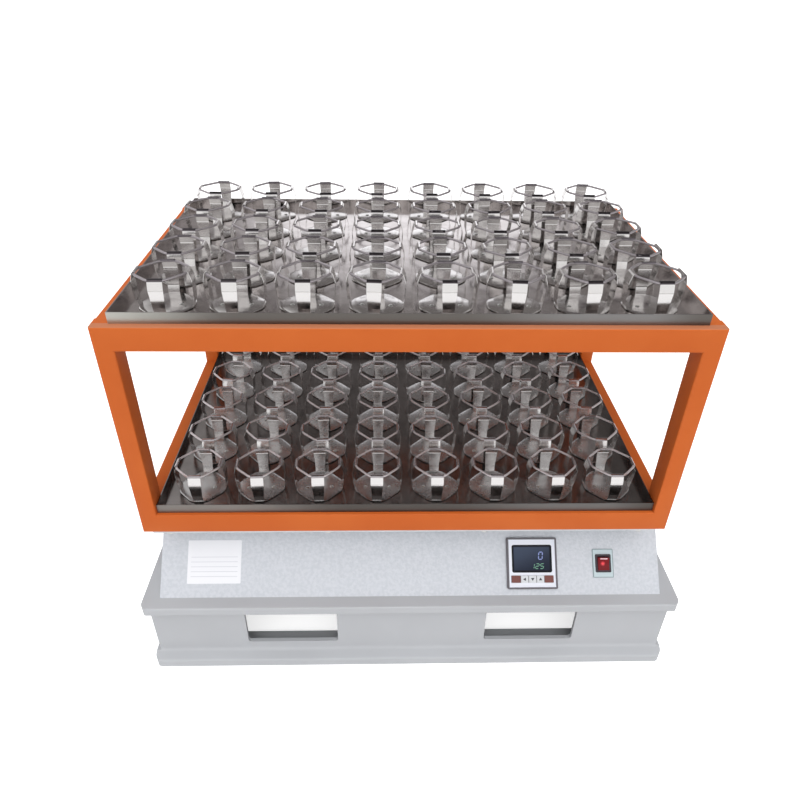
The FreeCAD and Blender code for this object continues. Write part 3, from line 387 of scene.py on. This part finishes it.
def glowing(name, colour, strength):
    """The lit segments of one figure on the display."""
    finish = Finish(name)
    return finish.done(Base_Color=colour, Roughness=0.4, Emission_Color=colour, Emission_Strength=strength)


def label_film():
    """White film label with faint ruled lines across its lower part and nothing on them."""
    finish = Finish("label_film")
    across, above = along_panel(finish, LABEL_CENTRE)
    rule = finish.smooth(abs(finish.math("FRACT", above / 9.0) - 0.5), 0.44, 0.49)
    inside = (abs(across) < 44.0) * (above < 12.0) * (above > -34.0)
    colour = finish.blend(rule * inside, srgb(238, 239, 243), srgb(190, 192, 200))
    return finish.done(Base_Color=colour, Roughness=0.35, Coat_Weight=0.2, Coat_Roughness=0.2)


FINISHES = {
    "base_paint": paint("base_enamel", srgb(184, 186, 189), srgb(188, 190, 193), 0.45, 0.35, 0.00003, 0.04),
    "deck_paint": paint("deck_enamel", srgb(140, 142, 143), srgb(150, 151, 152), 0.5, 0.35, 0.00003),
    "housing_paint": hammered_paint(),
    "frame_paint": frame_paint(),
    "motor_paint": paint("motor_enamel", srgb(52, 56, 62), srgb(60, 64, 70), 0.45, 0.4, 0.00004),
    "control_box_sheet": steel("control_box_sheet", (0.6, 0.61, 0.62), 0.35, (0.05, 1.0, 1.0), 0.00001),
    "fasteners": steel("zinc_fasteners", (0.62, 0.62, 0.60), 0.3, smear=0.15),
    "cast_housings": steel("machined_casting", (0.22, 0.22, 0.23), 0.5, grain_depth=0.00002, metallic=0.6),
    "bearing_steel": steel("ground_bearing_steel", (0.66, 0.66, 0.67), 0.2),
    "crank_steel": steel("turned_crank_steel", (0.52, 0.52, 0.53), 0.3, (1.0, 1.0, 0.05), 0.00001),
    "pulley_aluminium": steel("turned_aluminium", (0.72, 0.73, 0.74), 0.28, (1.0, 1.0, 0.05), 0.00001),
    "table_aluminium": steel("milled_aluminium", (0.66, 0.67, 0.68), 0.35, (0.04, 1.0, 1.0), 0.00001, smear=0.1),
    "belt_rubber": plastic("belt_rubber", (0.02, 0.02, 0.021), 0.7),
    "black_plastic": plastic("black_plastic", (0.025, 0.025, 0.028), 0.45),
    "meter_face": meter_front(),
    "window_glass": display_glass(),
    "red_key": plastic("red_key", srgb(122, 66, 58), 0.5),
    "white_key": plastic("white_key", srgb(214, 217, 220), 0.5),
    "switch_guard": guard_plastic(),
    "switch_black": plastic("switch_black", srgb(58, 44, 54), 0.4),
    "rocker_red": lit_rocker(),
    "tray_steel": tray_sheet(),
    # This finish carries painted shade on the lower deck's folded parts.
    "clamp_steel": arm_steel("clamp_steel", SPRING_STEEL),
    "ring_wire": ring_wire(),
}


# ---------------------------------------------------------------- mesh helpers
def piece_from_grids(name, grids, around_u=False, around_v=False, sharp=30.0):
    """One mesh from k grids of points, shaped (k, u, v, 3), each closed along u or v where asked."""
    grids = np.asarray(grids, float)
    k, nu, nv, _ = grids.shape
    u = np.arange(nu if around_u else nu - 1)
    v = np.arange(nv if around_v else nv - 1)
    uu, vv = np.meshgrid(u, v, indexing="ij")
    next_u, next_v = (uu + 1) % nu, (vv + 1) % nv
    quads = np.stack([uu * nv + vv, next_u * nv + vv, next_u * nv + next_v, uu * nv + next_v], axis=-1)
    quads = (quads.reshape(1, -1, 4) + (np.arange(k) * nu * nv)[:, None, None]).reshape(-1, 4)
    mesh = bpy.data.meshes.new(name)
    mesh.from_pydata(grids.reshape(-1, 3).tolist(), [], quads.tolist())
    work = bmesh.new()
    work.from_mesh(mesh)
    bmesh.ops.remove_doubles(work, verts=work.verts, dist=1e-6)
    bmesh.ops.recalc_face_normals(work, faces=work.faces)
    work.to_mesh(mesh)
    work.free()
    mesh.shade_smooth()
    mesh.set_sharp_from_angle(angle=np.radians(sharp))
    piece = bpy.data.objects.new(name, mesh)
    bpy.context.scene.collection.objects.link(piece)
    return piece


def finish_piece(piece, slot, body, *nodes):
    """Gives a piece its finish, the body that it rides on and the parts that it stands for."""
    piece.data.materials.append(FINISHES[slot])
    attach(piece, body)
    if nodes:
        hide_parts(*nodes)


def on_panel(x, s, n):
    """Points at x, up the slope and out of it, in millimetres, as points of the room in metres."""
    x, s, n = np.broadcast_arrays(x, s, n)
    flat = x[..., None] * ALONG_X + s[..., None] * ALONG_PANEL + n[..., None] * OUT_OF_PANEL
    return PANEL_FOOT + flat / 1000.0


def panel_plates(name, outlines, low, high):
    """Flat plates on the panel from outlines (k, m, 2): a pole below, the wall, then in to the middle as a pole."""
    outlines = np.asarray(outlines, float)
    middle = outlines.mean(axis=1, keepdims=True) + np.zeros_like(outlines)
    rings = [(middle, low), (outlines, low), (outlines, high), (middle, high)]
    grid = np.stack([on_panel(ring[..., 0], ring[..., 1], level) for ring, level in rings], axis=1)
    return piece_from_grids(name, grid, around_v=True)


def rounded_outline(x, s, width, height, radius, steps=6):
    """Outline of a rectangle with round corners: each corner is a quarter turn about its own centre.

    x and s are the rectangle's centre, and steps is the number of points on each quarter turn.
    """
    angle = (np.arange(4)[:, None] * 90.0 + np.linspace(0.0, 90.0, steps)[None, :]).ravel()
    corner = np.repeat([(1, 1), (-1, 1), (-1, -1), (1, -1)], steps, axis=0)
    middle = corner * np.array([width / 2 - radius, height / 2 - radius])
    turn = np.stack([np.cos(np.radians(angle)), np.sin(np.radians(angle))], axis=-1)
    return np.array([x, s]) + middle + radius * turn


# ---------------------------------------------------------------- flask clamps
def clamp_frames(deck):
    """Place, turn and lean of each clamp: the grid of seats, each off by the small errors of hand fitting."""
    rng = np.random.default_rng({"lower": 11, "upper": 23}[deck])
    row, column = np.meshgrid(np.arange(ROWS), np.arange(COLUMNS), indexing="ij")
    place = np.stack([
        (column.ravel() - (COLUMNS - 1) / 2) * PITCH - THROW, (row.ravel() - (ROWS - 1) / 2) * PITCH,
        np.full(ROWS * COLUMNS, DECKS[deck] + TRAY_SHEET),
    ], axis=-1)
    turn = np.radians(np.clip(rng.normal(0.0, 2.2, len(place)), -4.5, 4.5))
    lean = np.radians(rng.normal(0.0, 0.7, (len(place), 2)))
    return place, turn, lean


def turned(points, angle):
    """Points (..., 3) turned about Z by angles that broadcast with their leading axes."""
    cos, sin = np.cos(angle), np.sin(angle)
    return np.stack([
        points[..., 0] * cos - points[..., 1] * sin, points[..., 0] * sin + points[..., 1] * cos,
        points[..., 2] + 0.0 * angle,
    ], axis=-1)


def for_each_clamp(shape, deck, heading=0.0, leaning=False):
    """Copies of one grid of points (u, v, 3), in millimetres about the clamp's axis, set at every seat.

    heading turns the shape about that axis, in degrees; a leaning shape also tilts a little, as loose rings do.
    """
    place, turn, lean = clamp_frames(deck)
    points = turned(shape[None], turn[:, None, None] + np.radians(heading)) / 1000.0
    if leaning:
        tilt = points[..., 0] * lean[:, None, None, 0] + points[..., 1] * lean[:, None, None, 1]
        points = points + tilt[..., None] * np.array([0.0, 0.0, 1.0])
    return points + place[:, None, None, :]


def octagon(straight, half_run):
    """Corners of an octagon whose four main sides are 2 half_run long and stand off the middle by straight."""
    return np.array([
        (straight, -half_run), (straight, half_run), (half_run, straight), (-half_run, straight),
        (-straight, half_run), (-straight, -half_run), (-half_run, -straight), (half_run, -straight),
    ])


def soft_corners(corners, reach, steps):
    """A closed outline whose corners are parabolas that start and end at a distance reach from each corner."""
    unit = lambda step: step / np.linalg.norm(step, axis=-1, keepdims=True)
    start = corners + reach * unit(np.roll(corners, 1, axis=0) - corners)
    stop = corners + reach * unit(np.roll(corners, -1, axis=0) - corners)
    t = np.linspace(0.0, 1.0, steps)[None, :, None]
    path = (1 - t) ** 2 * start[:, None] + 2 * t * (1 - t) * corners[:, None] + t ** 2 * stop[:, None]
    return path.reshape(-1, 2)


def ring_grid(sides=8):
    """Round wire bent to an octagon: straight runs joined by curves, swept by a small circle."""
    wire_radius, height = 1.9, 55.7
    path = soft_corners(octagon(38.5, 12.5), 6.5, 4)
    way = np.roll(path, -1, axis=0) - np.roll(path, 1, axis=0)
    way = way / np.linalg.norm(way, axis=-1, keepdims=True)
    outward = np.stack([way[:, 1], -way[:, 0]], axis=-1)
    angle = np.linspace(0.0, 2 * np.pi, sides, endpoint=False)
    flat = path[:, None] + wire_radius * np.cos(angle)[None, :, None] * outward[:, None]
    level = np.broadcast_to(height + wire_radius * np.sin(angle)[None, :], flat.shape[:2])
    return np.concatenate([flat, level[..., None]], axis=-1)


def arm_grid():
    """Sheet arm: foot, riser, grooved crease, shoulder and a flap folded over the wire, given thickness and width.

    The line gives distance from the clamp's axis and height above the tray. Points just before and after each bend
    keep the runs between the bends flat.
    """
    sheet = 0.5
    line = np.array([
        (40.2, 0.6), (40.5, 1.8), (43.35, 13.2), (43.7, 14.6), (43.8, 15.8), (44.8, 40.2), (44.9, 41.4),
        (44.4, 42.2), (44.85, 43.0), (44.6, 44.2), (41.85, 54.6), (41.5, 55.8), (41.2, 56.3), (39.4, 58.2),
        (38.9, 58.65), (38.2, 58.9), (36.9, 59.0), (36.1, 58.8), (35.6, 58.0), (35.6, 56.6)])
    way = np.gradient(line, axis=0)
    way = way / np.linalg.norm(way, axis=1, keepdims=True)
    inside = line - sheet * np.stack([way[:, 1], -way[:, 0]], axis=-1)
    half = np.interp(line[:, 1], [0.0, 15.0, 42.0, 60.0], [8.7, 9.0, 11.0, 11.0])
    section = np.stack([
        np.insert(face, 1, side * half, axis=1)
        for face, side in ((line, -1.0), (line, 1.0), (inside, 1.0), (inside, -1.0))], axis=1)
    ends = section[[0, -1]].mean(axis=1, keepdims=True).repeat(4, axis=1)
    return np.concatenate([ends[:1], section, ends[1:]])


def foot_plate_grid():
    """Pressed foot plate: an octagon with soft corners, undercut at its rim and rising to a low crown.

    The profile gives the share of the outline's reach and the height, from the pole below to the pole on top.
    """
    straight, diagonal = 42.0, 39.2
    outline = soft_corners(octagon(straight, diagonal * np.sqrt(2) - straight), 9.0, 5)
    profile = np.array([
        (0.0, 0.0), (0.955, 0.0), (0.985, 1.3), (1.0, 1.5), (1.0, 1.65), (0.985, 2.0), (0.94, 2.35), (0.85, 2.8),
        (0.7, 3.35), (0.5, 3.8), (0.25, 3.97), (0.0, 4.0)])
    flat = profile[:, 0, None, None] * outline[None]
    level = np.broadcast_to(profile[:, 1, None], flat.shape[:2])
    return np.concatenate([flat, level[..., None]], axis=-1)


def screw_grid(steps=10):
    """Pan head: a dome turned about its own axis, standing on the crown of the foot plate."""
    foot = 3.3
    profile = np.array([(0.0, 0.0), (3.6, 0.0), (3.7, 0.7), (2.9, 1.3), (1.4, 1.6), (0.0, 1.7)])
    angle = np.linspace(0.0, 2 * np.pi, steps, endpoint=False)
    radius = np.repeat(profile[:, :1], steps, axis=1)
    return np.stack([
        radius * np.cos(angle), radius * np.sin(angle), foot + np.repeat(profile[:, 1:], steps, axis=1)], axis=-1)


SCREWS_X, SCREW_Y = (-22.0, 22.0), -6.0
# Painted shade: the folded parts of the front and rear arms are painted much darker, for the dark things that they
# reflect.
PAINTED_SHADE_FLAPS = arm_steel("clamp_steel_painted_shade_flaps", (0.13, 0.115, 0.125))
# Painted shade: the lower deck's foot plates are painted darker than the upper deck's.
PLATE_FINISHES = {
    "lower": steel("lower_plate_steel_painted_shade", (0.50, 0.49, 0.49), 0.27, wave_depth=0.00012, smear=0.06),
    "upper": steel("upper_plate_steel", (0.64, 0.62, 0.61), 0.15, wave_depth=0.00016, smear=0.05),
}
for deck in DECKS:
    plates = piece_from_grids(deck + "_foot_plates", for_each_clamp(foot_plate_grid(), deck), around_v=True)
    finish_piece(plates, "clamp_steel", "platform", deck + "_clamp_bases")
    plates.data.materials[0] = PLATE_FINISHES[deck]
    rings = piece_from_grids(deck + "_rings", for_each_clamp(ring_grid(), deck, leaning=True),
                             around_u=True, around_v=True, sharp=60.0)
    finish_piece(rings, "ring_wire", "platform", deck + "_clamp_rings")
    for quarter, side in enumerate(("right", "rear", "left", "front")):
        arms = piece_from_grids(deck + "_" + side + "_arms", for_each_clamp(arm_grid(), deck, 90.0 * quarter),
                                around_v=True, sharp=40.0)
        finish_piece(arms, "clamp_steel", "platform", deck + "_clamp_" + side + "_arms")
        # The front and rear arms take the finish with painted shade on their folded parts.
        if side in ("front", "rear"):
            arms.data.materials[0] = PAINTED_SHADE_FLAPS
    heads = np.concatenate([for_each_clamp(screw_grid() + np.array([x, SCREW_Y, 0.0]), deck) for x in SCREWS_X])
    screws = piece_from_grids(deck + "_foot_screws", heads, around_v=True)
    finish_piece(screws, "fasteners", "platform")


# ---------------------------------------------------------------- frame portals
def portal_grid(end):
    """Front or rear portal: a tube's section with round edges in front, carried round a rectangle on mitres."""
    proud, radius = 0.00012, 0.003
    front, back = FRAME_FRONT + 0.00015, FRAME_FRONT - TUBE_DEPTH
    side = FRAME_HALF_WIDTH
    outer = np.array([(-side, FRAME_TOP), (side, FRAME_TOP), (side, FRAME_FOOT), (-side, FRAME_FOOT)])
    inward = np.array([(1, -1), (-1, -1), (-1, 1), (1, 1)])
    inner = outer + inward * np.array([POST_WIDTH, BEAM_HEIGHT])
    turn = np.radians(np.linspace(0.0, 90.0, 5))
    inset = radius * (1 - np.cos(turn)) - proud
    depth = front - radius * (1 - np.sin(turn))
    rings = [(outer + inward * step, y) for step, y in zip(inset, depth)]
    rings += [(inner - inward * step, y) for step, y in zip(inset[::-1], depth[::-1])]
    rings += [(inner + inward * proud, back), (outer - inward * proud, back)]
    return np.stack([
        np.column_stack([ring[:, 0] - THROW, np.full(4, end * y), ring[:, 1]]) for ring, y in rings], axis=1)[None]


portals = piece_from_grids(
    "frame_portals", np.concatenate([portal_grid(-1), portal_grid(1)]), around_u=True, around_v=True, sharp=40.0)
finish_piece(portals, "frame_paint", "platform", "frame_cross_beams")


# ---------------------------------------------------------------- panel details
label = panel_plates(
    "panel_label", [rounded_outline(*LABEL_CENTRE, *LABEL_SIZE, LABEL_CORNER)], 0.0, LABEL_THICKNESS)
label.data.materials.append(label_film())
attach(label, "base")


def segment_outlines(digits, left, foot, width, height, stroke, gap, slant=0.1):
    """Seven-segment digits: each bar is a six-cornered outline from one end of its line to the other.

    The first digit stands at left and foot, each next one a width and a gap further; slant leans them to the right.
    """
    ends = {
        "a": ((0, 1), (1, 1)), "b": ((1, 1), (1, .5)), "c": ((1, .5), (1, 0)), "d": ((0, 0), (1, 0)),
        "e": ((0, 0), (0, .5)), "f": ((0, .5), (0, 1)), "g": ((0, .5), (1, .5))}
    lit = {"0": "abcdef", "1": "bc", "2": "abged", "5": "afgcd"}
    size = np.array([width, height])
    bars = []
    for place, digit in enumerate(digits):
        for name in lit[digit]:
            start, stop = (np.array(end) * size for end in ends[name])
            way = (stop - start) / np.linalg.norm(stop - start)
            start, stop = start + way * 0.25 * stroke, stop - way * 0.25 * stroke
            side = np.array([-way[1], way[0]]) * stroke / 2
            bar = np.array([start, start + way * stroke / 2 + side, stop - way * stroke / 2 + side, stop,
                            stop - way * stroke / 2 - side, start + way * stroke / 2 - side])
            bar[:, 0] += slant * bar[:, 1] + left + place * (width + gap)
            bar[:, 1] += foot
            bars.append(bar)
    return np.array(bars)


def printed(name, outlines, surface):
    """Plates that stand a hair out of the surface that they are printed on or shine through."""
    return panel_plates(name, outlines, surface - PRINT_DEPTH, surface + PRINT_PROUD)


upper_figures = printed(
    "display_upper_figure", segment_outlines("0", 242.3, 67.0, 7.0, 13.5, 1.8, 3.0), WINDOW_FRONT)
upper_figures.data.materials.append(glowing("blue_figures", srgb(112, 126, 176), 0.5))
lower_figures = printed(
    "display_lower_figures", segment_outlines("125", 227.0, 49.7, 6.0, 9.0, 1.4, 3.0, 0.2), WINDOW_FRONT)
lower_figures.data.materials.append(glowing("green_figures", srgb(92, 140, 116), 0.45))
for figures in (upper_figures, lower_figures):
    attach(figures, "base")

KEY_WIDTHS = {"key_set": 16.5, "key_left": 14.0, "key_down": 14.0, "key_up": 14.0, "key_run": 16.5}
KEY_GAP = 1.2
KEY_CENTRES = {}
key_edge = METER_CENTRE[0] - (sum(KEY_WIDTHS.values()) + KEY_GAP * 4) / 2
for key, width in KEY_WIDTHS.items():
    KEY_CENTRES[key] = key_edge + width / 2
    key_edge += width + KEY_GAP
ARROWS = {
    "key_left": [(-3.2, 0.0), (2.2, -3.0), (2.2, 3.0)],
    "key_down": [(0.0, -3.0), (3.4, 2.2), (-3.4, 2.2)],
    "key_up": [(0.0, 3.0), (-3.4, -2.2), (3.4, -2.2)],
}
for key, corners in ARROWS.items():
    outline = np.array(corners) + np.array([KEY_CENTRES[key], METER_CENTRE[1] - KEY_ROW_BELOW_CENTRE])
    arrow = printed(key + "_arrow", [outline], KEY_FRONT)
    arrow.data.materials.append(plastic("dark_print_" + key, srgb(52, 52, 58), 0.6))
    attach(arrow, key)


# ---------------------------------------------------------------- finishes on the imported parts
slots = {entry["node"]: entry["material_slot"] for entry in frame["record"]["subparts"]}
for name, part in frame["nodes"].items():
    part.data.materials.clear()
    part.data.materials.append(FINISHES[slots[name]])


# ---------------------------------------------------------------- floor and sky
WHITE = (1.0, 1.0, 1.0)


def white_floor():
    """A white floor that keeps the shadow: matt, with a glow that only the camera and mirrors see."""
    half = 40.0
    grid = np.array([[[(-half, -half, 0.0), (-half, half, 0.0)], [(half, -half, 0.0), (half, half, 0.0)]]])
    floor = piece_from_grids("floor", grid)
    finish = Finish("floor")
    seen = finish.node("ShaderNodeLightPath", output="Is Camera Ray")
    matt = finish.node("ShaderNodeBsdfDiffuse", None, {"Color": (0.82, 0.82, 0.82, 1.0)})
    glow = finish.node("ShaderNodeEmission", None, {
        "Color": (*WHITE, 1.0), "Strength": seen * 0.7 + finish.mirror_ray() * 0.3})
    finish.end(finish.node("ShaderNodeAddShader", None, {0: matt, 1: glow}))
    floor.data.materials.append(finish.owner)


def studio_sky():
    """A studio sky from the way a ray goes: one light for matt surfaces, another for what mirrors show.

    Matt surfaces get their light from a broad softbox in front and a second one overhead. Mirrors see a white band
    low in front, a short pale one low behind, a window high on the left, a pale wall on the right, and a dim
    brownish hall under a dark ceiling for the rest. The camera sees plain white.
    """
    world = bpy.data.worlds.new("studio")
    bpy.context.scene.world = world
    sky = Finish("studio", world)
    way = sky.node("ShaderNodeTexCoord", output="Generated")
    x, y, z = [sky.node("ShaderNodeSeparateXYZ", None, {0: way}, axis) for axis in range(3)]
    light = 0.04 + 3.15 * sky.smooth(0.63 * z - 0.776 * y, 0.78, 0.985) + 1.45 * sky.smooth(z, 0.6, 0.97)
    front = sky.smooth(0.0 - y, -0.05, 0.15)
    low_front = front * (1.0 - sky.smooth(z, 0.66, 0.78))
    low_rear = (1.0 - front) * (1.0 - sky.smooth(z, 0.34, 0.43))
    middle = sky.smooth(x, -0.24, -0.10) * (1.0 - sky.smooth(x, 0.16, 0.30))
    window = sky.smooth(0.0 - x, 0.12, 0.28) * sky.smooth(z, 0.46, 0.58)
    window = window.at_least(sky.smooth(0.0 - x, 0.30, 0.50) * sky.smooth(z, 0.2, 0.35))
    window = window * (1.0 - sky.smooth(z, 0.80, 0.90))
    wall = sky.smooth(x, 0.45, 0.65) * (1.0 - sky.smooth(z, 0.6, 0.75))
    hall = sky.blend(sky.smooth(z, 0.74, 0.86), (0.21, 0.195, 0.19), (0.09, 0.085, 0.085))
    mirrored = sky.blend(wall, hall, (0.55, 0.54, 0.53))
    mirrored = sky.blend(low_rear, mirrored, sky.blend(middle, (0.36, 0.34, 0.34), (1.5, 1.5, 1.55)))
    mirrored = sky.blend(window, mirrored, WHITE)
    mirrored = sky.blend(low_front, mirrored, WHITE)
    lit = sky.node("ShaderNodeCombineXYZ", None, {0: light, 1: light, 2: light * 1.01})
    colour = sky.blend(sky.mirror_ray(), lit, mirrored)
    colour = sky.blend(sky.node("ShaderNodeLightPath", output="Is Camera Ray"), colour, WHITE)
    sky.end(sky.node("ShaderNodeBackground", None, {"Color": colour, "Strength": 1.0}), "ShaderNodeOutputWorld")


aim_camera()
white_floor()
studio_sky()
bpy.context.scene.view_settings.view_transform = "Standard"
